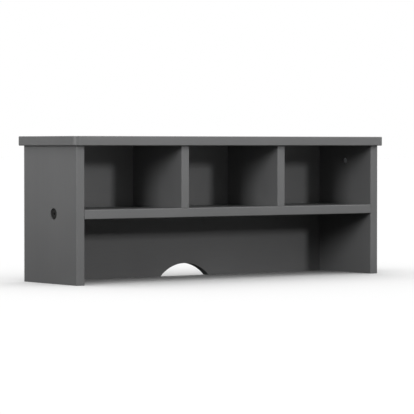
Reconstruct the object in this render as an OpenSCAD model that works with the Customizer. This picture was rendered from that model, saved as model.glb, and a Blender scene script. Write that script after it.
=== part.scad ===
// Desk hutch: a low painted shelf unit that stands on the rear of a desk top.
// Three cubbies sit above one open bay. The desk surface is the floor of that bay.
// Millimetres. +Z is up and the open front faces -Y. The origin is the bottom centre of the whole box.

/* [Case] */
// Width over the outer faces of the two side panels
case_w = 652; // [560:1:800]
// Depth of the side panels, front to rear
case_d = 162; // [145:1:220]
// Height from the desk surface to the underside of the top
case_h = 231; // [215:1:300]
// Thickness of every board
board_t = 16; // [15:0.5:20]
// Radius on the long exposed edges of the boards
edge_r = 1.5; // [0.5:0.5:3]

/* [Top] */
// How far the top runs past each side panel
top_side_overhang = 9; // [4:1:30]
// How far the top runs past the front edges
top_front_overhang = 9; // [0:1:30]
// How far the top runs past the rear edges of the sides
top_rear_overhang = 4; // [0:1:15]
// Radius of the two front corners of the top
top_front_corner_r = 12; // [4:1:30]
// Radius of the two rear corners of the top
top_rear_corner_r = 3; // [2:1:10]

/* [Inside] */
// Height from the desk surface to the underside of the shelf
shelf_z = 109; // [90:1:130]
// Clear width of the middle cubby, which is a little narrower than the two beside it
middle_cubby_w = 192; // [150:1:230]
// How far the back panel sits in from the rear edges of the sides
back_inset = 1; // [0:0.5:3]

/* [Cable notch] */
// Width of the arched notch along the desk surface
notch_w = 106; // [60:1:160]
// Height of the notch at its middle
notch_h = 22.5; // [12:0.5:30]

/* [Bolts and barrel nuts] */
// Thread diameter of the connector bolts
bolt_d = 6; // [5:1:6]
// Length of a connector bolt under its head
bolt_l = 50; // [45:1:60]
// Diameter of the wide bolt head
head_d = 18; // [12:0.5:19]
// Thickness of the bolt head
head_h = 2.5; // [2:0.1:2.8]
// Width across the flats of the hex socket
socket_af = 4; // [3:0.5:5]
// Depth of the counterbore that takes the bolt head
counterbore_h = 4; // [3:0.5:4.5]
// How far the shelf bolts stand in front of the middle of the shelf's depth
shelf_bolt_forward = 3; // [0:1:10]
// Diameter of the barrel nuts
nut_d = 10; // [10:1:12]
// Length of a barrel nut
nut_l = 12.5; // [11:0.5:13]
// Distance from the joint to the axis of its barrel nut
nut_setback = 27; // [22:1:30]

/* [Dowels] */
// Diameter of the wooden dowels
dowel_d = 8; // [6:1:8]
// Length of a dowel
dowel_l = 30; // [25:1:32]
// How much of a dowel sits in the face of the crossing board
dowel_shallow = 10; // [8:0.5:11]
// Spacing of the two dowels beside each bolt
dowel_pitch = 90; // [60:1:100]

/* [Back screws] */
// Shank diameter of the countersunk wood screws
screw_d = 4; // [3:0.5:4.5]
// Length of a screw
screw_l = 40; // [30:1:40]
// Diameter of the countersunk head
screw_head_d = 8; // [7:0.5:9]

/* [Desk fixing inserts] */
// Outer diameter of a threaded insert
insert_d = 10; // [8:1:10]
// Length of an insert
insert_l = 13; // [10:1:20]
// Thread diameter in the insert
insert_thread_d = 6; // [5:1:6]
// Spacing of the two inserts in the foot of each side panel
insert_pitch = 100; // [60:1:110]

/* [Hidden] */
$fn = 64;
notch_fn = 128;

paint = "#5d5e5f";
black_steel = "#222325";
zinc = "#b4b6b8";
beech = "#c8a877";

// Extra length that carries a cut clear of the face it leaves through
clear = 1;
// Radial room round a dowel, a bolt shank, a bolt head, a barrel nut, a screw and an insert
dowel_room = 0.1;
shank_room = 0.5;
head_room = 0.5;
nut_room = 0.3;
thread_room = 0.1;
screw_room = 0.1;
insert_room = 0.1;
// Empty hole left beyond the end of a dowel, a bolt, a barrel nut, a screw and an insert
dowel_end_room = 0.5;
bolt_end_room = 3;
nut_end_room = 0.5;
screw_end_room = 1;
insert_end_room = 2;

dowel_chamfer = 1;
head_chamfer = 0.8;
bolt_tip_chamfer = 1;
socket_h = 1.8;
nut_recess = 1;
nut_hole_l = nut_l + nut_recess + nut_end_room;
nut_slot_w = 1.2;
nut_slot_h = 1.5;
screw_recess = 0.3;
screw_tip_l = 6;
cross_l = 4.4;
cross_w = 1;
cross_h = 1.8;
insert_recess = 0.5;

// How far the fasteners of the back panel stand from the foot, head and ends of the boards
back_dowel_foot_gap = 45;
back_dowel_head_gap = 41;
top_back_dowel_gap = 110;
shelf_screw_gap = 80;
divider_screw_gap = 30;

inner_w = case_w - 2 * board_t;
top_w = case_w + 2 * top_side_overhang;
top_d = case_d + top_front_overhang + top_rear_overhang;
front_y = top_front_overhang - top_d / 2;
back_y = front_y + case_d - back_inset;
inner_d = case_d - back_inset - board_t;

// The top bolts stand at the middle of the shelf's depth, and every bolt stands at the middle of a
// board's thickness
bolt_y = front_y + inner_d / 2;
side_mid_x = (case_w - board_t) / 2;
divider_mid_x = (middle_cubby_w + board_t) / 2;
shelf_mid_z = shelf_z + board_t / 2;
shelf_top_z = shelf_z + board_t;
back_mid_y = back_y - board_t / 2;
bolt_seat = board_t - counterbore_h;

notch_r = (pow(notch_w / 2, 2) + pow(notch_h, 2)) / (2 * notch_h);
back_dowel_heights = [back_dowel_foot_gap, case_h - back_dowel_head_gap];
divider_screw_heights = [shelf_top_z + divider_screw_gap, case_h - divider_screw_gap];
top_back_dowel_x = inner_w / 2 - top_back_dowel_gap;
shelf_screw_x = inner_w / 2 - shelf_screw_gap;

// --- Placement ---

// Draws its children on the left, or mirrored on the right when side is 1
module on_side(side) {
    if (side < 0) children();
    else mirror([1, 0, 0]) children();
}

module on_both_sides() {
    for (side = [-1, 1]) on_side(side) children();
}

// Each joint has its origin in the plane where two boards meet, at the middle of the butting
// board's thickness. +Z points into the crossing board, and +X to the mouth of the barrel nut.
module at_top_joint() {
    translate([-side_mid_x, bolt_y, case_h]) children();
}

module at_shelf_joint() {
    translate([-inner_w / 2, bolt_y - shelf_bolt_forward, shelf_mid_z])
        rotate([0, -90, 0]) rotate([0, 0, 180]) children();
}

module at_divider_head() {
    translate([-divider_mid_x, bolt_y, case_h]) children();
}

module at_divider_foot() {
    translate([-divider_mid_x, bolt_y, shelf_top_z]) mirror([0, 0, 1]) children();
}

module at_back_end_dowels() {
    for (z = back_dowel_heights) translate([-inner_w / 2, back_mid_y, z]) rotate([0, -90, 0]) children();
}

module at_back_head_dowels() {
    for (side = [-1, 1]) translate([side * top_back_dowel_x, back_mid_y, case_h]) children();
}

module at_dowel_pair() {
    for (end = [-1, 1]) translate([0, end * dowel_pitch / 2, 0]) children();
}

// Screws enter the rear face of the back panel, with +Z pointing out of it
module at_back_face(x, z) {
    translate([x, back_y, z]) rotate([-90, 0, 0]) children();
}

module at_shelf_screws() {
    for (i = [-1, 0, 1]) at_back_face(i * shelf_screw_x, shelf_mid_z) children();
}

module at_divider_screws() {
    for (side = [-1, 1], z = divider_screw_heights) at_back_face(side * divider_mid_x, z) children();
}

module at_foot_inserts() {
    for (end = [-1, 1]) translate([-side_mid_x, bolt_y + end * insert_pitch / 2, 0]) children();
}

// --- Board shapes ---

// The waste outside a corner radius: the corner is at the origin and the board lies towards +X +Y
module corner_waste(r) {
    difference() {
        translate([-clear, -clear]) square(r + clear);
        translate([r, r]) circle(r);
    }
}

// A rectangle with a radius at each corner, anticlockwise from the origin, where 0 leaves it square
module rounded_rect(w, h, radii) {
    difference() {
        square([w, h]);
        if (radii[0] > 0) corner_waste(radii[0]);
        if (radii[1] > 0) translate([w, 0]) rotate(90) corner_waste(radii[1]);
        if (radii[2] > 0) translate([w, h]) rotate(180) corner_waste(radii[2]);
        if (radii[3] > 0) translate([0, h]) rotate(270) corner_waste(radii[3]);
    }
}

module upright(x, z, h, depth, rear_r) {
    translate([x, front_y, z])
        linear_extrude(h) rounded_rect(board_t, depth, [edge_r, edge_r, rear_r, rear_r]);
}

module top_blank() {
    eased = [edge_r, edge_r, edge_r, edge_r];
    corners = [top_front_corner_r, top_front_corner_r, top_rear_corner_r, top_rear_corner_r];
    translate([-top_w / 2, -top_d / 2, case_h]) intersection() {
        linear_extrude(board_t) rounded_rect(top_w, top_d, corners);
        rotate([90, 0, 90]) linear_extrude(top_w) rounded_rect(top_d, board_t, eased);
        translate([0, top_d, 0]) rotate([90, 0, 0]) linear_extrude(top_d) rounded_rect(top_w, board_t, eased);
    }
}

// --- Fasteners and the holes they need ---

module dowel() {
    r = dowel_d / 2;
    deep = dowel_l - dowel_shallow;
    rotate_extrude() polygon([
        [0, -deep], [r - dowel_chamfer, -deep], [r, dowel_chamfer - deep],
        [r, dowel_shallow - dowel_chamfer], [r - dowel_chamfer, dowel_shallow], [0, dowel_shallow]
    ]);
}

module dowel_hole() {
    translate([0, 0, dowel_shallow - dowel_l - dowel_end_room])
        cylinder(r = dowel_d / 2 + dowel_room, h = dowel_l + 2 * dowel_end_room);
}

module bolt() {
    r = bolt_d / 2;
    head_r = head_d / 2;
    color(black_steel) translate([0, 0, bolt_seat]) difference() {
        rotate_extrude() polygon([
            [0, -bolt_l], [r - bolt_tip_chamfer, -bolt_l], [r, bolt_tip_chamfer - bolt_l], [r, 0],
            [head_r, 0], [head_r, head_h - head_chamfer], [head_r - head_chamfer, head_h], [0, head_h]
        ]);
        translate([0, 0, head_h - socket_h])
            cylinder(d = socket_af / cos(30), h = socket_h + clear, $fn = 6);
    }
}

// Clearance for a bolt: its shank, its counterbored head and its barrel nut
module bolt_hole() {
    shank_end = bolt_seat - bolt_l - bolt_end_room;
    translate([0, 0, shank_end]) cylinder(r = bolt_d / 2 + shank_room, h = board_t - shank_end);
    translate([0, 0, bolt_seat]) cylinder(r = head_d / 2 + head_room, h = counterbore_h + clear);
    translate([board_t / 2 - nut_hole_l, 0, -nut_setback]) rotate([0, 90, 0])
        cylinder(r = nut_d / 2 + nut_room, h = nut_hole_l + clear);
}

module barrel_nut() {
    mouth = board_t / 2 - nut_recess;
    color(zinc) translate([0, 0, -nut_setback]) difference() {
        translate([mouth - nut_l, 0, 0]) rotate([0, 90, 0]) cylinder(d = nut_d, h = nut_l);
        cylinder(r = bolt_d / 2 + thread_room, h = nut_d + 2 * clear, center = true);
        translate([mouth - nut_slot_h, -nut_slot_w / 2, -nut_d / 2 - clear])
            cube([nut_slot_h + clear, nut_slot_w, nut_d + 2 * clear]);
    }
}

// A countersunk screw, or with room above 0 the hole that it needs
module screw_shape(room) {
    r = screw_d / 2 + room;
    head_r = screw_head_d / 2 + room;
    top = room > 0 ? clear : -screw_recess;
    end = room > 0 ? -screw_l - screw_end_room : -screw_l;
    rotate_extrude() polygon([
        [0, end], [r, end + screw_tip_l], [r, r - head_r - screw_recess],
        [head_r, -screw_recess], [head_r, top], [0, top]
    ]);
}

module screw() {
    difference() {
        screw_shape(0);
        for (turn = [0, 90]) rotate([0, 0, turn])
            translate([-cross_l / 2, -cross_w / 2, -screw_recess - cross_h])
                cube([cross_l, cross_w, cross_h + clear]);
    }
}

module insert() {
    translate([0, 0, insert_recess]) difference() {
        cylinder(d = insert_d, h = insert_l);
        translate([0, 0, -clear]) cylinder(d = insert_thread_d, h = insert_l + 2 * clear);
    }
}

module insert_hole() {
    translate([0, 0, -clear])
        cylinder(r = insert_d / 2 + insert_room, h = clear + insert_recess + insert_l + insert_end_room);
}

// --- Boards ---

module top_panel() {
    color(paint) difference() {
        top_blank();
        on_both_sides() at_top_joint() bolt_hole();
        on_both_sides() at_top_joint() at_dowel_pair() dowel_hole();
        on_both_sides() at_divider_head() at_dowel_pair() dowel_hole();
        at_back_head_dowels() dowel_hole();
    }
}

module side_panel(side) {
    color(paint) on_side(side) difference() {
        upright(-case_w / 2, 0, case_h, case_d, edge_r);
        at_top_joint() bolt_hole();
        at_top_joint() at_dowel_pair() dowel_hole();
        at_shelf_joint() bolt_hole();
        at_shelf_joint() at_dowel_pair() dowel_hole();
        at_back_end_dowels() dowel_hole();
        at_foot_inserts() insert_hole();
    }
}

module shelf() {
    color(paint) difference() {
        translate([-inner_w / 2, front_y, shelf_z]) rotate([90, 0, 90])
            linear_extrude(inner_w) rounded_rect(inner_d, board_t, [edge_r, 0, 0, edge_r]);
        on_both_sides() at_shelf_joint() bolt_hole();
        on_both_sides() at_shelf_joint() at_dowel_pair() dowel_hole();
        on_both_sides() at_divider_foot() at_dowel_pair() dowel_hole();
        at_shelf_screws() screw_shape(screw_room);
    }
}

module divider(side) {
    color(paint) difference() {
        on_side(side) difference() {
            upright(-divider_mid_x - board_t / 2, shelf_top_z, case_h - shelf_top_z, inner_d, 0);
            at_divider_head() at_dowel_pair() dowel_hole();
            at_divider_foot() at_dowel_pair() dowel_hole();
        }
        at_divider_screws() screw_shape(screw_room);
    }
}

module back_panel() {
    color(paint) difference() {
        translate([-inner_w / 2, back_y - board_t, 0]) cube([inner_w, board_t, case_h]);
        translate([0, back_y + clear, notch_h - notch_r]) rotate([90, 0, 0])
            cylinder(r = notch_r, h = board_t + 2 * clear, $fn = notch_fn);
        on_both_sides() at_back_end_dowels() dowel_hole();
        at_back_head_dowels() dowel_hole();
        at_shelf_screws() screw_shape(screw_room);
        at_divider_screws() screw_shape(screw_room);
    }
}

// --- Sets of identical fasteners ---

module top_to_side_dowels() { color(beech) on_both_sides() at_top_joint() at_dowel_pair() dowel(); }
module shelf_to_side_dowels() { color(beech) on_both_sides() at_shelf_joint() at_dowel_pair() dowel(); }
module top_to_divider_dowels() { color(beech) on_both_sides() at_divider_head() at_dowel_pair() dowel(); }
module shelf_to_divider_dowels() { color(beech) on_both_sides() at_divider_foot() at_dowel_pair() dowel(); }
module back_to_side_dowels() { color(beech) on_both_sides() at_back_end_dowels() dowel(); }
module top_to_back_dowels() { color(beech) at_back_head_dowels() dowel(); }
module back_to_shelf_screws() { color(black_steel) at_shelf_screws() screw(); }
module back_to_divider_screws() { color(black_steel) at_divider_screws() screw(); }
module desk_fixing_inserts() { color(zinc) on_both_sides() at_foot_inserts() insert(); }

top_panel();
side_panel(-1);  // left_side_panel
side_panel(1);  // right_side_panel
shelf();
divider(-1);  // left_divider
divider(1);  // right_divider
back_panel();
on_side(-1) at_top_joint() bolt();  // left_top_bolt
on_side(1) at_top_joint() bolt();  // right_top_bolt
on_side(-1) at_top_joint() barrel_nut();  // left_top_barrel_nut
on_side(1) at_top_joint() barrel_nut();  // right_top_barrel_nut
on_side(-1) at_shelf_joint() bolt();  // left_shelf_bolt
on_side(1) at_shelf_joint() bolt();  // right_shelf_bolt
on_side(-1) at_shelf_joint() barrel_nut();  // left_shelf_barrel_nut
on_side(1) at_shelf_joint() barrel_nut();  // right_shelf_barrel_nut
top_to_side_dowels();
shelf_to_side_dowels();
top_to_divider_dowels();
shelf_to_divider_dowels();
back_to_side_dowels();
top_to_back_dowels();
back_to_shelf_screws();
back_to_divider_screws();
desk_fixing_inserts();
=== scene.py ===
"""The looks of a desk hutch: seven painted boards and the hardware that holds them together.

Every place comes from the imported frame. The row frame has its origin at the bottom centre,
+Z up, and the open front facing -Y. Blender works in metres, and MM turns millimetres into them.
"""

import math

import bmesh
import bpy
from mathutils import Matrix, Vector


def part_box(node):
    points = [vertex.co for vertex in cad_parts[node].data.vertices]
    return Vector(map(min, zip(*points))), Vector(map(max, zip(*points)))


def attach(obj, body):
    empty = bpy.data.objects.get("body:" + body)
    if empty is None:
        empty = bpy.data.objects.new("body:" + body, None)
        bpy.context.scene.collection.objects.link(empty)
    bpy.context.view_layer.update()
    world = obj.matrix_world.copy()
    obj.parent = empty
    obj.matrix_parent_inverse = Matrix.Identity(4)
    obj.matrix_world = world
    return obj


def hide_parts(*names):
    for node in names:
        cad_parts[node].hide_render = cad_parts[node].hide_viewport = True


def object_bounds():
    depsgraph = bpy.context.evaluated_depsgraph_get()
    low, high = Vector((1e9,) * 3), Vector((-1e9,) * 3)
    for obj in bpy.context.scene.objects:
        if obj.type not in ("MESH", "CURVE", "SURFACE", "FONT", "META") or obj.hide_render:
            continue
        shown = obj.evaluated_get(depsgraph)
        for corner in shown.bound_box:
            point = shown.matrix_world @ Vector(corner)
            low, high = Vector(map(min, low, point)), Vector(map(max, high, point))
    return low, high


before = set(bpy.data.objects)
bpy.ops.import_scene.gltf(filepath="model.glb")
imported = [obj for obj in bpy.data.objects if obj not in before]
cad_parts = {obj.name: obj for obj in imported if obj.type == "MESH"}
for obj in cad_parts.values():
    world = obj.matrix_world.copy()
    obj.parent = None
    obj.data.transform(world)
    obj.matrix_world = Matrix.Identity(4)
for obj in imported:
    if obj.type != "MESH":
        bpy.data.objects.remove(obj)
cad_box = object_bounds()

MM = 0.001
WELD = 1e-6
UP, DOWN = Vector((0, 0, 1)), Vector((0, 0, -1))
RIGHT, LEFT = Vector((1, 0, 0)), Vector((-1, 0, 0))
REAR = Vector((0, 1, 0))


# --- Camera, light and floor ---

CAMERA_PLACE = Vector((-2.504, -3.363, 0.231))
CAMERA_LENS = 208

# Each soft light: azimuth from straight ahead, positive to the right, then elevation, distance,
# width of its square face and power
SOFT_LIGHTS = {
    "front_right_softbox": (15, 13.5, 6.1, 0.6, 107),
    "front_left_softbox": (-66.5, 14.6, 5.0, 1.2, 132),
    "right_softbox": (65, 22, 6.0, 1.2, 100),
    "rear_fill": (150, 40, 6.0, 3.0, 90),
}
# Strength of the surround at the horizon and overhead
SKY_LOW, SKY_HIGH = 0.06, 2.15
# The floor as seen, and what it throws back: a little where a desk top would lie, more beyond it
FLOOR_SIZE = 60
PALE_TONE, DESK_GLOW, FAR_GLOW = 0.87, 0.02, 1.41
DESK_REACH = (1.33, 1.08)


def aim(obj, target):
    """Turns a camera or a light towards a point."""
    obj.rotation_euler = (Vector(target) - obj.location).to_track_quat("-Z", "Y").to_euler()


def add(name, data):
    obj = bpy.data.objects.new(name, data)
    bpy.context.scene.collection.objects.link(obj)
    return obj


def make_camera(target):
    camera = add("camera", bpy.data.cameras.new("camera"))
    camera.location = CAMERA_PLACE
    camera.data.lens = CAMERA_LENS
    camera.data.clip_end = 100
    aim(camera, target)
    bpy.context.scene.camera = camera


def all_but(floor, name):
    """The receivers of a light that leaves the floor alone."""
    group = bpy.data.collections.new(name)
    group.objects.link(floor)
    group.collection_objects[0].light_linking.link_state = "EXCLUDE"
    return group


def make_light(name, target, floor, azimuth, elevation, distance, width, power):
    data = bpy.data.lights.new(name, "AREA")
    data.size = width
    data.energy = power
    light = add(name, data)
    a, e = math.radians(azimuth), math.radians(elevation)
    towards = Vector((math.sin(a) * math.cos(e), -math.cos(a) * math.cos(e), math.sin(e)))
    light.location = target + towards * distance
    light.visible_camera = False
    light.light_linking.receiver_collection = all_but(floor, name + "_receivers")
    aim(light, target)


def camera_or_other(tree, seen, other):
    """A shader that the camera sees as one thing and that lights the object as another."""
    path = tree.nodes.new("ShaderNodeLightPath")
    mix = tree.nodes.new("ShaderNodeMixShader")
    tree.links.new(path.outputs["Is Camera Ray"], mix.inputs[0])
    tree.links.new(other, mix.inputs[1])
    tree.links.new(seen, mix.inputs[2])
    return mix.outputs[0]


def make_world():
    """A white surround. What lights the hutch is dimmer than it looks, and brighter from overhead."""
    world = bpy.data.worlds.new("studio")
    world.use_nodes = True
    tree = world.node_tree
    seen = tree.nodes["Background"]
    seen.inputs["Color"].default_value = (1, 1, 1, 1)
    sky = tree.nodes.new("ShaderNodeBackground")
    way = tree.nodes.new("ShaderNodeTexCoord")
    height = tree.nodes.new("ShaderNodeSeparateXYZ")
    strength = tree.nodes.new("ShaderNodeMapRange")
    for name, number in (("From Min", 0), ("From Max", 1), ("To Min", SKY_LOW), ("To Max", SKY_HIGH)):
        strength.inputs[name].default_value = number
    tree.links.new(way.outputs["Generated"], height.inputs[0])
    tree.links.new(height.outputs["Z"], strength.inputs["Value"])
    tree.links.new(strength.outputs[0], sky.inputs["Strength"])
    shader = camera_or_other(tree, seen.outputs[0], sky.outputs[0])
    tree.links.new(shader, tree.nodes["World Output"].inputs["Surface"])
    bpy.context.scene.world = world


def make_floor():
    """A pale floor, which throws little light on the hutch from where a desk top would lie."""
    bm = bmesh.new()
    bmesh.ops.create_grid(bm, x_segments=2, y_segments=2, size=FLOOR_SIZE / 2)
    mesh = bpy.data.meshes.new("floor")
    bm.to_mesh(mesh)
    bm.free()
    floor = add("floor", mesh)
    g = Graph("pale_floor")
    desk = g.place(stretch=(1 / DESK_REACH[0], 1 / DESK_REACH[1], 1))
    across, along, _ = g.node("ShaderNodeSeparateXYZ", Vector=desk).outputs
    away = g.math("MAXIMUM", g.math("ABSOLUTE", across), g.math("ABSOLUTE", along))
    g.tree.nodes.remove(g.shader)
    pale = g.node("ShaderNodeBsdfDiffuse", Color=grey(PALE_TONE))
    glow = g.node("ShaderNodeEmission", Strength=g.remap(away, 0.95, 1.05, DESK_GLOW, FAR_GLOW))
    shader = camera_or_other(g.tree, pale.outputs[0], glow.outputs[0])
    g.tree.links.new(shader, g.tree.nodes["Material Output"].inputs["Surface"])
    mesh.materials.append(g.material)
    return floor


# --- Node materials ---

class Graph:
    """A material's node tree, built by short calls that each return a socket."""

    def __init__(self, name):
        self.material = bpy.data.materials.new(name)
        self.material.use_nodes = True
        self.tree = self.material.node_tree
        self.shader = self.tree.nodes["Principled BSDF"]

    def node(self, kind, settings=None, **inputs):
        made = self.tree.nodes.new(kind)
        for key, value in (settings or {}).items():
            setattr(made, key, value)
        for key, value in inputs.items():
            self.feed(made.inputs[key.replace("_", " ")], value)
        return made

    def feed(self, socket, value):
        if isinstance(value, bpy.types.NodeSocket):
            self.tree.links.new(value, socket)
        else:
            socket.default_value = value

    def math(self, operation, a, b=0.0, clamp=False):
        made = self.node("ShaderNodeMath", {"operation": operation, "use_clamp": clamp})
        self.feed(made.inputs[0], a)
        self.feed(made.inputs[1], b)
        return made.outputs[0]

    def place(self, stretch=(1, 1, 1), shift=(0, 0, 0)):
        """Object coordinates, in metres of the row frame, stretched and moved."""
        at = self.node("ShaderNodeTexCoord").outputs["Object"]
        return self.node("ShaderNodeMapping", Vector=at, Location=shift, Scale=stretch).outputs[0]

    def noise(self, place, size, detail=2.0, roughness=0.5):
        """Noise from 0 to 1, with features of about the given size in metres."""
        made = self.node("ShaderNodeTexNoise", Vector=place, Scale=1 / size, Detail=detail,
                         Roughness=roughness)
        return made.outputs["Fac"]

    def remap(self, value, low, high, to_low, to_high):
        made = self.node("ShaderNodeMapRange", {"interpolation_type": "SMOOTHSTEP"})
        for socket, number in zip(made.inputs, (value, low, high, to_low, to_high)):
            self.feed(socket, number)
        return made.outputs[0]

    def mix(self, factor, a, b):
        """A colour between a and b."""
        made = self.node("ShaderNodeMix", {"data_type": "RGBA"})
        self.feed(made.inputs[0], factor)
        self.feed(made.inputs[6], a)
        self.feed(made.inputs[7], b)
        return made.outputs[2]

    def bump(self, height, depth, below=None):
        """A normal from a height of 0 to 1, where 1 stands depth metres proud."""
        made = self.node("ShaderNodeBump", Height=height, Distance=depth, Strength=1.0)
        if below is not None:
            self.feed(made.inputs["Normal"], below)
        return made.outputs[0]

    def arris(self, across):
        """1 in the middle of a rounded edge and 0 on the flats, from the surface's own normal.
        across names the pairs of axes whose edges count."""
        normal = self.node("ShaderNodeTexCoord").outputs["Normal"]
        parts = self.node("ShaderNodeSeparateXYZ", Vector=normal).outputs
        squares = {axis: self.math("MULTIPLY", parts[i], parts[i]) for i, axis in enumerate("xyz")}
        total = 0.0
        for a, b in across:
            total = self.math("ADD", total, self.math("MULTIPLY", squares[a], squares[b]))
        return self.math("MULTIPLY", total, 4.0, clamp=True)

    def set(self, **inputs):
        for key, value in inputs.items():
            self.feed(self.shader.inputs[key.replace("_", " ")], value)
        return self.material


def grey(value):
    return (value, value, value, 1)


def satin_paint(name, grain, across, shift):
    """Sprayed satin paint on a board: a fine orange peel over grain that runs along one axis."""
    g = Graph(name)
    along = {"x": (0.04, 1, 1), "z": (1, 1, 0.04)}[grain]
    flat = g.place(shift=shift)
    drawn = g.place(stretch=along, shift=shift)

    peel = g.noise(flat, 1.3 * MM, detail=1.5)
    grit = g.noise(flat, 0.35 * MM, detail=1.0)
    fibre = g.noise(drawn, 0.9 * MM, detail=3.0, roughness=0.6)
    cloud = g.noise(flat, 90 * MM, detail=3.0)
    wipe = g.noise(drawn, 14 * MM, detail=3.0)
    edge_patches = g.remap(g.noise(flat, 9 * MM, detail=4.0), 0.35, 0.7, 0.35, 1.0)
    worn_and_painted_highlight_edges = g.math("MULTIPLY", g.arris(across), edge_patches)

    body = g.mix(g.remap(cloud, 0.3, 0.7, 0.0, 1.0), (0.096, 0.097, 0.098, 1), (0.104, 0.105, 0.106, 1))
    body = g.mix(g.remap(fibre, 0.42, 0.7, 0.0, 0.22), body, grey(0.082))
    # Lighter colour on the rounded edges: partly rubbed paint, partly a painted highlight where the edges
    # catch the light
    colour = g.mix(g.math("MULTIPLY", worn_and_painted_highlight_edges, 0.35), body, grey(0.135))

    rough = g.remap(cloud, 0.3, 0.7, 0.46, 0.52)
    rough = g.math("ADD", rough, g.remap(wipe, 0.3, 0.7, -0.025, 0.025))
    rough = g.math("ADD", rough, g.remap(grit, 0.3, 0.7, -0.03, 0.03))
    rough = g.math("SUBTRACT", rough, g.math("MULTIPLY", worn_and_painted_highlight_edges, 0.08))

    normal = g.bump(fibre, 0.020 * MM)
    normal = g.bump(peel, 0.030 * MM, normal)
    normal = g.bump(grit, 0.005 * MM, normal)
    return g.set(Base_Color=colour, Roughness=rough, Normal=normal, IOR=1.5)


def raw_board():
    """The bare wood fibre inside a drilled hole."""
    g = Graph("raw_board")
    place = g.place()
    fibre = g.noise(place, 0.6 * MM, detail=4.0)
    patch = g.noise(place, 5 * MM, detail=2.0)
    colour = g.mix(g.remap(fibre, 0.3, 0.7, 0.0, 1.0), (0.30, 0.19, 0.10, 1), (0.44, 0.30, 0.17, 1))
    rough = g.remap(patch, 0.3, 0.7, 0.8, 0.95)
    return g.set(Base_Color=colour, Roughness=rough, Normal=g.bump(fibre, 0.12 * MM))


def black_steel():
    """Steel with a thin black finish, rubbed a little on its edges."""
    g = Graph("black_steel")
    place = g.place()
    speck = g.noise(place, 0.5 * MM, detail=3.0)
    patch = g.noise(place, 3 * MM, detail=3.0)
    edge = g.node("ShaderNodeNewGeometry").outputs["Pointiness"]
    edge_patches = g.math("MULTIPLY", g.remap(edge, 0.53, 0.60, 0.0, 0.3), g.remap(patch, 0.35, 0.65, 0.3, 1.0))
    colour = g.mix(g.remap(speck, 0.3, 0.7, 0.0, 1.0), grey(0.006), grey(0.011))
    colour = g.mix(edge_patches, colour, grey(0.08))
    rough = g.math("ADD", g.remap(patch, 0.3, 0.7, 0.44, 0.56), g.remap(speck, 0.3, 0.7, -0.03, 0.03))
    return g.set(Base_Color=colour, Roughness=rough, Normal=g.bump(speck, 0.010 * MM), IOR=1.3)


def zinc_steel():
    """Zinc plating: bright, faintly mottled, with a fine spangle and a few dull spots."""
    g = Graph("zinc_steel")
    place = g.place()
    spangle = g.node("ShaderNodeTexVoronoi", Vector=place, Scale=1 / (1.1 * MM)).outputs["Distance"]
    haze = g.noise(place, 2.5 * MM, detail=4.0)
    fine = g.noise(place, 0.25 * MM, detail=2.0)
    colour = g.mix(g.remap(haze, 0.3, 0.7, 0.0, 1.0), (0.66, 0.67, 0.69, 1), (0.80, 0.81, 0.83, 1))
    rough = g.math("ADD", g.remap(haze, 0.3, 0.7, 0.56, 0.44), g.remap(spangle, 0.0, 0.8, -0.04, 0.04))
    normal = g.bump(fine, 0.006 * MM, g.bump(spangle, 0.010 * MM))
    return g.set(Base_Color=colour, Roughness=rough, Normal=normal, Metallic=1.0)


def beech():
    """Pale beech with short dark flecks."""
    g = Graph("beech")
    place = g.place()
    fleck = g.noise(place, 0.8 * MM, detail=4.0, roughness=0.65)
    tone = g.noise(place, 12 * MM, detail=2.0)
    colour = g.mix(g.remap(tone, 0.3, 0.7, 0.0, 1.0), (0.50, 0.33, 0.17, 1), (0.62, 0.43, 0.25, 1))
    colour = g.mix(g.remap(fleck, 0.55, 0.75, 0.0, 0.5), colour, (0.28, 0.16, 0.08, 1))
    rough = g.remap(fleck, 0.3, 0.7, 0.55, 0.75)
    return g.set(Base_Color=colour, Roughness=rough, Normal=g.bump(fleck, 0.05 * MM))


# --- Mesh tools ---

def mesh_of(bm, name):
    bmesh.ops.recalc_face_normals(bm, faces=bm.faces)
    mesh = bpy.data.meshes.new(name)
    bm.to_mesh(mesh)
    bm.free()
    return mesh


def loft(rings, name):
    """A closed solid through rings of points, which all have the same count, with a point at each end."""
    bm = bmesh.new()
    rows = [[bm.verts.new(p) for p in ring] for ring in rings]
    for low, high in zip(rows, rows[1:]):
        for i in range(len(low)):
            j = (i + 1) % len(low)
            bm.faces.new((low[i], low[j], high[j], high[i]))
    for row in (rows[0], rows[-1]):
        bm.faces.new(row)
    return mesh_of(bm, name)


def ring(z, radius, count):
    """A ring of points at one height, where radius is a number or gives a number for each angle."""
    points = []
    for i in range(count):
        a = 2 * math.pi * i / count
        r = radius(a) if callable(radius) else radius
        points.append((r * math.cos(a), r * math.sin(a), z))
    return points


def lathe(profile, count, name):
    """A closed solid turned from (radius, height) pairs."""
    return loft([ring(z, r, count) for r, z in profile], name)


def arc(centre, radius, start, end, steps):
    """(radius, height) or (x, y) pairs along a round corner, angles in degrees."""
    angles = [math.radians(start + (end - start) * i / steps) for i in range(steps + 1)]
    return [(centre[0] + radius * math.cos(a), centre[1] + radius * math.sin(a)) for a in angles]


def evaluated(obj):
    """Bakes an object's modifiers into its mesh."""
    depsgraph = bpy.context.evaluated_depsgraph_get()
    mesh = bpy.data.meshes.new_from_object(obj.evaluated_get(depsgraph), depsgraph=depsgraph)
    obj.modifiers.clear()
    obj.data = mesh
    return obj


def cut(obj, cutter):
    """Takes a cutter's shape out of an object. The new faces keep the cutter's material index."""
    boolean = obj.modifiers.new("cut", "BOOLEAN")
    boolean.operation = "DIFFERENCE"
    boolean.solver = "EXACT"
    boolean.material_mode = "INDEX"
    boolean.object = cutter
    evaluated(obj)


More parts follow.
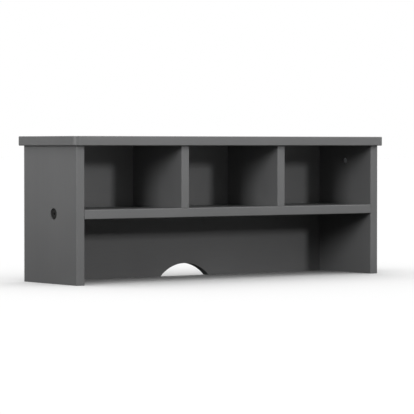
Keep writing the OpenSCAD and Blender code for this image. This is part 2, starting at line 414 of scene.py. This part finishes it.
def smooth(obj, sharp_angle=35):
    """Smooth shading that keeps flats flat: sharp creases, and normals weighted by face area.
    Slivers that a cut left behind go first."""
    mesh = obj.data
    bm = bmesh.new()
    bm.from_mesh(mesh)
    bmesh.ops.dissolve_degenerate(bm, dist=WELD, edges=bm.edges)
    bm.to_mesh(mesh)
    bm.free()
    mesh.polygons.foreach_set("use_smooth", [True] * len(mesh.polygons))
    mesh.set_sharp_from_angle(angle=math.radians(sharp_angle))
    weighted = obj.modifiers.new("normals", "WEIGHTED_NORMAL")
    weighted.mode = "FACE_AREA"
    weighted.weight = 50
    weighted.keep_sharp = True
    evaluated(obj)


def solids(node):
    """The box of each separate solid in a CAD node, as (lowest corner, highest corner)."""
    bm = bmesh.new()
    bm.from_mesh(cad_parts[node].data)
    bmesh.ops.remove_doubles(bm, verts=bm.verts, dist=WELD)
    left, boxes = set(bm.verts), []
    while left:
        reach = [left.pop()]
        corners = []
        while reach:
            vert = reach.pop()
            corners.append(vert.co.copy())
            for edge in vert.link_edges:
                other = edge.other_vert(vert)
                if other in left:
                    left.remove(other)
                    reach.append(other)
        boxes.append(tuple(Vector(pick(c[i] for c in corners) for i in range(3)) for pick in (min, max)))
    bm.free()
    return sorted(boxes, key=lambda b: tuple(round(x, 4) for x in b[0]))


def stand(box, facing, along):
    """The place of a fastener: its origin is at the middle of the box's face towards facing,
    which is its own +Z, and along is its own +X."""
    low, high = box
    middle, half = (low + high) / 2, (high - low) / 2
    reach = sum(abs(facing[i]) * half[i] for i in range(3))
    turn = Matrix((along, facing.cross(along), facing)).transposed().to_4x4()
    return Matrix.Translation(middle + facing * reach) @ turn


def spread(mesh, places, name):
    """One mesh with a copy of the given mesh at each place."""
    bm = bmesh.new()
    for place in places:
        copy = mesh.copy()
        copy.transform(place)
        bm.from_mesh(copy)
        bpy.data.meshes.remove(copy)
    joined = bpy.data.meshes.new(name)
    bm.to_mesh(joined)
    bm.free()
    return joined


# --- Fastener shapes: each has its head or mouth at the origin, facing +Z ---

# Steps round a fastener, and round a hole or a smooth nut
ROUND, FINE_ROUND = 36, 72
BOLT_W, HEAD_H, SCREW_W, NUT_BORE = 6 * MM, 2.5 * MM, 4 * MM, 6.2 * MM
# Extra length that carries a cutter clear of the face it cuts
CLEAR = 1 * MM


def thread(start, end, core, crest, pitch, tip=0.0, runout=1.5, steps=6):
    """Rings of a screw thread from start down to end, which narrows over the last tip of length."""
    rings = []
    count = round((start - end) / pitch * steps)
    for k in range(count + 1):
        z = start + (end - start) * k / count
        fade = min(1, (start - z) / (runout * pitch))
        narrow = 1 if tip == 0 else min(1, 0.08 + 0.92 * (z - end) / tip)

        def radius(a, z=z, fade=fade, narrow=narrow):
            turn = (z / pitch - a / (2 * math.pi)) % 1
            height = max(0, 1 - 2.2 * abs(turn - 0.5))
            return narrow * (core + (crest - core) * height * fade)

        rings.append(ring(z, radius, ROUND))
    return rings


def hexagon(flats):
    """Radius of a hexagon, given its width across flats, as a function of the angle."""
    def radius(a):
        return flats / 2 / math.cos((a + math.pi / 6) % (math.pi / 3) - math.pi / 6)
    return radius


def head_rings(width, height, chamfer):
    """Rings of a wide flat head with a rounded rim, from the top down to its seat."""
    r, foot_r = width / 2, 0.2 * MM
    rim = arc((r - chamfer, -chamfer), chamfer, 90, 0, 5)
    foot = arc((r - foot_r, foot_r - height), foot_r, 0, -90, 2)
    return [ring(z, x, ROUND) for x, z in rim + foot]


def bolt_mesh(length, head_width, shank):
    """Connector bolt: wide flat head, hex socket, plain neck and metric thread."""
    socket, flats, flare = 1.8 * MM, 4 * MM, 0.25 * MM
    r, pitch, chamfer = shank / 2, 1.0 * MM, 0.8 * MM
    core, neck_r = r - 0.55 * MM, r - 0.02 * MM
    neck_end = -HEAD_H - 11 * MM
    rings = [
        ring(-socket - 0.7 * MM, 0.15 * MM, ROUND),
        ring(-socket, flats / 2 * 0.9, ROUND),
        ring(-socket, hexagon(flats), ROUND),
        ring(-flare, hexagon(flats), ROUND),
        ring(0, hexagon(flats + 2 * flare), ROUND),
    ]
    rings += head_rings(head_width, HEAD_H, chamfer)
    neck = ((-HEAD_H, r + 0.4 * MM), (-HEAD_H - 0.4 * MM, neck_r), (neck_end, neck_r))
    rings += [ring(z, radius, ROUND) for z, radius in neck]
    rings += thread(neck_end - 0.3 * MM, -length + 1.2 * MM, core, r, pitch)
    rings += [ring(-length + 1.0 * MM, core, ROUND), ring(-length, core - 0.8 * MM, ROUND)]
    return loft(rings, "bolt")


def nut_mesh(length, width, bore):
    """Barrel nut: a short cylinder with eased rims, a screwdriver slot and a threaded cross bore."""
    r, ease = width / 2, 0.5 * MM
    rim = arc((r - ease, -ease), ease, 90, 0, 4)
    foot = arc((r - ease, -length + ease), ease, 0, -90, 4)
    body = add("nut", lathe(rim + foot, FINE_ROUND, "nut"))
    slot = add("slot", slot_mesh(1.2 * MM, 1.5 * MM, width + 2 * CLEAR))
    cut(body, slot)
    reach = r + CLEAR
    inside = thread(reach, -reach, bore / 2, bore / 2 + 0.35 * MM, 1 * MM, runout=0.01)
    tap = add("tap", loft(inside, "tap"))
    tap.matrix_world = Matrix.Translation((0, 0, -length / 2)) @ Matrix.Rotation(math.pi / 2, 4, "Y")
    bpy.context.view_layer.update()
    cut(body, tap)
    return take(body, slot, tap)


def slot_mesh(width, depth, length):
    """A bar that cuts a slot along X, with its mouth a little over the face it cuts."""
    bm = bmesh.new()
    bmesh.ops.create_cube(bm, size=1)
    bmesh.ops.scale(bm, vec=(length, width, depth + CLEAR), verts=bm.verts)
    bmesh.ops.translate(bm, vec=(0, 0, (CLEAR - depth) / 2), verts=bm.verts)
    return mesh_of(bm, "slot")


def take(body, *tools):
    """The mesh of a finished working object, which is then removed with its tools."""
    mesh = body.data
    for obj in (body, *tools):
        bpy.data.objects.remove(obj)
    return mesh


def screw_mesh(length, head_width, shank):
    """Countersunk wood screw with a cross recess, coarse thread and a point."""
    r, head_r, rim = shank / 2, head_width / 2, 0.25 * MM
    core = r - 0.65 * MM
    neck_r = r - 0.2 * MM
    cone_end = -rim - (head_r - r)
    neck_end = cone_end - 7 * MM
    profile = (
        (0, 0.5 * MM),
        (0, head_r - 0.3 * MM),
        (-0.08 * MM, head_r - 0.05 * MM),
        (-0.15 * MM, head_r),
        (-rim - 0.1 * MM, head_r),
        (cone_end, neck_r),
        (neck_end, neck_r),
    )
    rings = [ring(z, radius, ROUND) for z, radius in profile]
    rings += thread(neck_end - 0.3 * MM, -length, core, r, 1.8 * MM, tip=5 * MM, steps=8)
    body = add("screw", loft(rings, "screw"))
    tools = []
    for turn in (0, math.pi / 2):
        blade = add("blade", blade_mesh(head_width * 0.56, 1.0 * MM, 2.2 * MM))
        blade.rotation_euler.z = turn
        bpy.context.view_layer.update()
        cut(body, blade)
        tools.append(blade)
    return take(body, *tools)


def blade_mesh(length, width, depth):
    """One blade of a cross recess: it narrows towards its foot."""
    top = 0.5 * MM
    bm = bmesh.new()
    bmesh.ops.create_cube(bm, size=1)
    for vert in bm.verts:
        foot = vert.co.z < 0
        vert.co.x *= length * (0.42 if foot else 1.12)
        vert.co.y *= width * (0.7 if foot else 1.05)
        vert.co.z = -depth if foot else top
    return mesh_of(bm, "blade")


def insert_mesh(length, width, bore):
    """Threaded insert: coarse thread outside, fine thread inside."""
    r = width / 2
    collar = ((0, bore / 2 + 0.5 * MM), (0, r - 0.5 * MM), (-0.6 * MM, r - 0.15 * MM))
    outside = [ring(z, radius, ROUND) for z, radius in collar]
    outside += thread(-0.9 * MM, -length + 0.6 * MM, r - 0.9 * MM, r, 2.6 * MM, runout=0.5, steps=10)
    outside += [ring(-length, r - 1.3 * MM, ROUND)]
    body = add("insert", loft(outside, "insert"))
    inside = thread(CLEAR, -length - CLEAR, bore / 2, bore / 2 + 0.4 * MM, 1 * MM, runout=0.01)
    tap = add("tap", loft(inside, "tap"))
    cut(body, tap)
    return take(body, tap)


def dowel_mesh(length, width):
    """Fluted dowel with coned ends."""
    r, cone, flutes, depth = width / 2, 1.2 * MM, 18, 0.22 * MM

    def fluted(a):
        return r - depth * (0.5 + 0.5 * math.cos(flutes * a)) ** 2

    def small(a):
        return fluted(a) - 0.9 * MM

    rows = [(0, small), (-cone, fluted), (-length / 2, fluted), (cone - length, fluted), (-length, small)]
    return loft([ring(z, radius, 4 * flutes) for z, radius in rows], "dowel")


# --- Boards ---

# Radius on the long exposed edges, and on all the others
ARRIS, TIGHT = 1.5 * MM, 0.4 * MM
# Radii of the top's corners
FRONT_CORNER, REAR_CORNER = 12 * MM, 3 * MM


def corners_of(low, high):
    return [(low[0], low[1]), (high[0], low[1]), (high[0], high[1]), (low[0], high[1])]


def rounded_outline(low, high, radii, steps):
    """A rectangle with a radius at each corner, anticlockwise from the lowest corner."""
    inward = ((1, 1), (-1, 1), (-1, -1), (1, -1))
    points = []
    for k, ((x, y), (sx, sy), r) in enumerate(zip(corners_of(low, high), inward, radii)):
        points += arc((x + sx * r, y + sy * r), r, 180 + 90 * k, 270 + 90 * k, steps)
    return points


def extrude(outline, axis, low, high):
    """A prism whose outline lies across the axis: (x, y) for z, and (x, z) for y."""
    def at(p, level):
        return (p[0], p[1], level) if axis == "z" else (p[0], level, p[1])

    bm = bmesh.new()
    rows = [[bm.verts.new(at(p, level)) for p in outline] for level in (low, high)]
    for row in rows:
        bm.faces.new(row)
    for i in range(len(outline)):
        j = (i + 1) % len(outline)
        bm.faces.new((rows[0][i], rows[0][j], rows[1][j], rows[1][i]))
    bmesh.ops.recalc_face_normals(bm, faces=bm.faces)
    return bm


def ease(bm, radius, steps, chosen=None):
    """Rounds the sharp edges, or those that chosen() picks by their middle and direction."""
    picked = []
    for edge in bm.edges:
        if edge.calc_face_angle(0) < math.radians(50):
            continue
        a, b = (v.co for v in edge.verts)
        if chosen is None or chosen((a + b) / 2, (b - a).normalized()):
            picked.append(edge)
    bmesh.ops.bevel(bm, geom=picked, offset=radius, segments=steps, profile=0.5, affect="EDGES",
                    clamp_overlap=True)


def block(low, high):
    return extrude(corners_of(low, high), "z", low.z, high.z)


def top_shape(low, high):
    radii = (FRONT_CORNER, FRONT_CORNER, REAR_CORNER, REAR_CORNER)
    bm = extrude(rounded_outline(low, high, radii, 14), "z", low.z, high.z)
    ease(bm, ARRIS, 5)
    return bm


def side_shape(low, high):
    bm = block(low, high)
    ease(bm, ARRIS, 5, lambda middle, way: abs(way.z) > 0.9)
    ease(bm, TIGHT, 2)
    return bm


def divider_shape(low, high):
    bm = block(low, high)
    ease(bm, ARRIS, 5, lambda middle, way: abs(way.z) > 0.9 and middle.y < low.y + WELD)
    ease(bm, TIGHT, 2)
    return bm


def shelf_shape(low, high):
    bm = block(low, high)
    ease(bm, ARRIS, 5, lambda middle, way: abs(way.x) > 0.9 and middle.y < low.y + WELD)
    ease(bm, TIGHT, 2)
    return bm


def notch_arc():
    """Half the width of the cable notch, and the height of its arc's centre, read from the CAD board."""
    corners = [v.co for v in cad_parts["back_panel"].data.vertices]
    half = min(abs(p.x) for p in corners if p.z < WELD)
    crown = min((p for p in corners if WELD < p.z < half), key=lambda p: abs(p.x))
    return half, (crown.x ** 2 + crown.z ** 2 - half ** 2) / (2 * crown.z)


def back_shape(low, high):
    """The back board, with an arched cable notch at the middle of its foot."""
    half, centre_z = notch_arc()
    r = math.hypot(half, centre_z)
    sweep = math.degrees(math.asin(half / r))
    arch = arc((0, centre_z), r, 90 + sweep, 90 - sweep, 48)
    outline = [(low.x, low.z), *arch, (high.x, low.z), (high.x, high.z), (low.x, high.z)]
    bm = extrude(outline, "y", low.y, high.y)
    ease(bm, TIGHT, 3)
    return bm


# --- Holes ---

# How far each fastener's outer face lies below its board's face
BOLT_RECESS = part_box("top_panel")[1].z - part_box("left_top_bolt")[1].z
NUT_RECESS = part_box("left_side_panel")[1].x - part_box("left_top_barrel_nut")[1].x
SCREW_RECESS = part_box("back_panel")[1].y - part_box("back_to_shelf_screws")[1].y
INSERT_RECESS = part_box("desk_fixing_inserts")[0].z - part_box("left_side_panel")[0].z
# The radial room round each fastener, and the room beyond its end
HEAD_ROOM, SHANK_ROOM, SHANK_END = 0.5 * MM, 0.5 * MM, 3 * MM
NUT_ROOM, NUT_END = 0.3 * MM, 0.5 * MM
SCREW_ROOM, SCREW_END = 0.1 * MM, 1 * MM
INSERT_ROOM, INSERT_END = 0.1 * MM, 2 * MM
DOWEL_ROOM, DOWEL_END = 0.1 * MM, 0.5 * MM
# Radius of the softly rounded rim at a hole's mouth
MOUTH = 0.3 * MM
# Material slots of a board
PAINTED, RAW = 0, 1


def hole(profile, finish, name):
    """A cutter turned from (radius, height) pairs. Its faces are painted or left raw."""
    mesh = lathe(profile, FINE_ROUND, name)
    for material in (None, None):
        mesh.materials.append(material)
    mesh.polygons.foreach_set("material_index", [finish] * len(mesh.polygons))
    return mesh


def eased_mouth(radius, surface):
    """The top of a hole whose rim is softly rounded over, ending clear of the surface."""
    rim = arc((radius + MOUTH, surface - MOUTH), MOUTH, 180, 90, 4)
    return [(radius + MOUTH, surface + CLEAR)] + rim[::-1]


def counterbore(width, depth):
    r = width / 2 + HEAD_ROOM
    return hole(eased_mouth(r, BOLT_RECESS) + [(r, -depth)], PAINTED, "counterbore")


def nut_hole(width, length):
    r = width / 2 + NUT_ROOM
    return hole(eased_mouth(r, NUT_RECESS) + [(r, -length - NUT_END)], PAINTED, "nut_hole")


def insert_hole(width, length):
    r = width / 2 + INSERT_ROOM
    return hole(eased_mouth(r, INSERT_RECESS) + [(r, -length - INSERT_END)], RAW, "insert_hole")


def countersink(head_width, shank):
    r, inner = head_width / 2 + SCREW_ROOM, shank / 2 + SCREW_ROOM
    rim = 0.35 * MM
    cone = [(r, -rim), (inner, -rim - (r - inner))]
    return hole(eased_mouth(r, SCREW_RECESS) + cone, PAINTED, "countersink")


def drilling(width, room, top, bottom):
    return hole([(width / 2 + room, top), (width / 2 + room, bottom)], RAW, "drilling")


# --- What the hutch is made of ---

# Piece, CAD node, shape, axis of the grain, and the pairs of axes whose rounded edges show wear and a
# painted highlight
BOARDS = (
    ("top_board", "top_panel", top_shape, "x", ("xz", "yz")),
    ("left_side_board", "left_side_panel", side_shape, "z", ("xy",)),
    ("right_side_board", "right_side_panel", side_shape, "z", ("xy",)),
    ("shelf_board", "shelf", shelf_shape, "x", ("yz",)),
    ("left_divider_board", "left_divider", divider_shape, "z", ("xy",)),
    ("right_divider_board", "right_divider", divider_shape, "z", ("xy",)),
    ("back_board", "back_panel", back_shape, "x", ("yz",)),
)

# Piece, CAD node, the way its head or mouth faces, and the way its own X points
BOLTS = (
    ("left_top_bolt_m6", "left_top_bolt", UP, RIGHT),
    ("right_top_bolt_m6", "right_top_bolt", UP, RIGHT),
    ("left_shelf_bolt_m6", "left_shelf_bolt", LEFT, UP),
    ("right_shelf_bolt_m6", "right_shelf_bolt", RIGHT, UP),
)
NUTS = (
    ("left_top_cross_nut", "left_top_barrel_nut", RIGHT, UP),
    ("right_top_cross_nut", "right_top_barrel_nut", LEFT, UP),
    ("left_shelf_cross_nut", "left_shelf_barrel_nut", DOWN, RIGHT),
    ("right_shelf_cross_nut", "right_shelf_barrel_nut", DOWN, RIGHT),
)
SCREWS = (
    ("back_screws_to_shelf", "back_to_shelf_screws", REAR, RIGHT),
    ("back_screws_to_dividers", "back_to_divider_screws", REAR, RIGHT),
)
INSERTS = (("foot_inserts_m6", "desk_fixing_inserts", DOWN, RIGHT),)
DOWELS = (
    ("dowels_top_to_sides", "top_to_side_dowels", UP, RIGHT),
    ("dowels_shelf_to_sides", "shelf_to_side_dowels", RIGHT, UP),
    ("dowels_top_to_dividers", "top_to_divider_dowels", UP, RIGHT),
    ("dowels_shelf_to_dividers", "shelf_to_divider_dowels", UP, RIGHT),
    ("dowels_back_to_sides", "back_to_side_dowels", RIGHT, UP),
    ("dowels_top_to_back", "top_to_back_dowels", UP, RIGHT),
)


def length_and_width(node):
    """The longest side of a fastener in a CAD node, and its shortest."""
    low, high = solids(node)[0]
    sides = sorted(high - low)
    return sides[2], sides[0]


BOLT_L, HEAD_W = length_and_width("left_top_bolt")
NUT_L, NUT_W = length_and_width("left_top_barrel_nut")
SCREW_L, SCREW_HEAD_W = length_and_width("back_to_shelf_screws")
INSERT_L, INSERT_W = length_and_width("desk_fixing_inserts")
DOWEL_L, DOWEL_W = length_and_width("top_to_side_dowels")


def places_of(rows):
    """Every place of a kind of fastener, over all its rows."""
    return [stand(box, facing, along) for _, node, facing, along in rows for box in solids(node)]


def settle(obj, node):
    """Makes a finished object stand for its CAD node on the hutch's one body."""
    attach(obj, "root")
    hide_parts(node)


def make_fasteners(rows, shape, material):
    """One piece for each row, with a copy of the shape at each of its places."""
    for name, node, facing, along in rows:
        obj = add(name, spread(shape, places_of([(name, node, facing, along)]), name))
        obj.data.materials.clear()
        obj.data.materials.append(material)
        smooth(obj)
        settle(obj, node)


def make_cutters():
    """One object for each kind of hole, with a cutter at every place that needs one."""
    kinds = (
        (BOLTS, counterbore(HEAD_W, HEAD_H)),
        (BOLTS, drilling(BOLT_W, SHANK_ROOM, -HEAD_H / 2, -BOLT_L - SHANK_END)),
        (NUTS, nut_hole(NUT_W, NUT_L)),
        (DOWELS, drilling(DOWEL_W, DOWEL_ROOM, DOWEL_END, -DOWEL_L - DOWEL_END)),
        (SCREWS, countersink(SCREW_HEAD_W, SCREW_W)),
        (SCREWS, drilling(SCREW_W, SCREW_ROOM, -SCREW_HEAD_W / 4, -SCREW_L - SCREW_END)),
        (INSERTS, insert_hole(INSERT_W, INSERT_L)),
    )
    return [add("cutter", spread(shape, places_of(rows), "cutter")) for rows, shape in kinds]


def touches(board, cutter):
    """Whether the boxes of two objects overlap anywhere."""
    a, b = ([Vector(c) for c in obj.bound_box] for obj in (board, cutter))
    return all(min(p[i] for p in a) < max(p[i] for p in b) and min(p[i] for p in b) < max(p[i] for p in a)
               for i in range(3))


def make_boards(cutters, bare):
    for index, (name, node, shape, grain, worn_and_painted_highlight_edges) in enumerate(BOARDS):
        mesh = mesh_of(shape(*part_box(node)), name)
        board = add(name, mesh)
        shift = tuple(index * step for step in (0.37, 0.61, 0.23))
        mesh.materials.append(satin_paint(name + "_paint", grain, worn_and_painted_highlight_edges, shift))
        mesh.materials.append(bare)
        for cutter in cutters:
            if touches(board, cutter):
                cut(board, cutter)
        smooth(board)
        settle(board, node)


def make_hutch():
    cutters = make_cutters()
    make_boards(cutters, raw_board())
    for cutter in cutters:
        bpy.data.objects.remove(cutter)
    black, zinc = black_steel(), zinc_steel()
    make_fasteners(BOLTS, bolt_mesh(BOLT_L, HEAD_W, BOLT_W), black)
    make_fasteners(SCREWS, screw_mesh(SCREW_L, SCREW_HEAD_W, SCREW_W), black)
    make_fasteners(NUTS, nut_mesh(NUT_L, NUT_W, NUT_BORE), zinc)
    make_fasteners(INSERTS, insert_mesh(INSERT_L, INSERT_W, BOLT_W), zinc)
    make_fasteners(DOWELS, dowel_mesh(DOWEL_L, DOWEL_W), beech())


low, high = cad_box
centre = (low + high) / 2
make_camera(centre)
make_world()
floor = make_floor()
for light_name, numbers in SOFT_LIGHTS.items():
    make_light(light_name, centre, floor, *numbers)
bpy.context.scene.view_settings.view_transform = "Standard"
make_hutch()
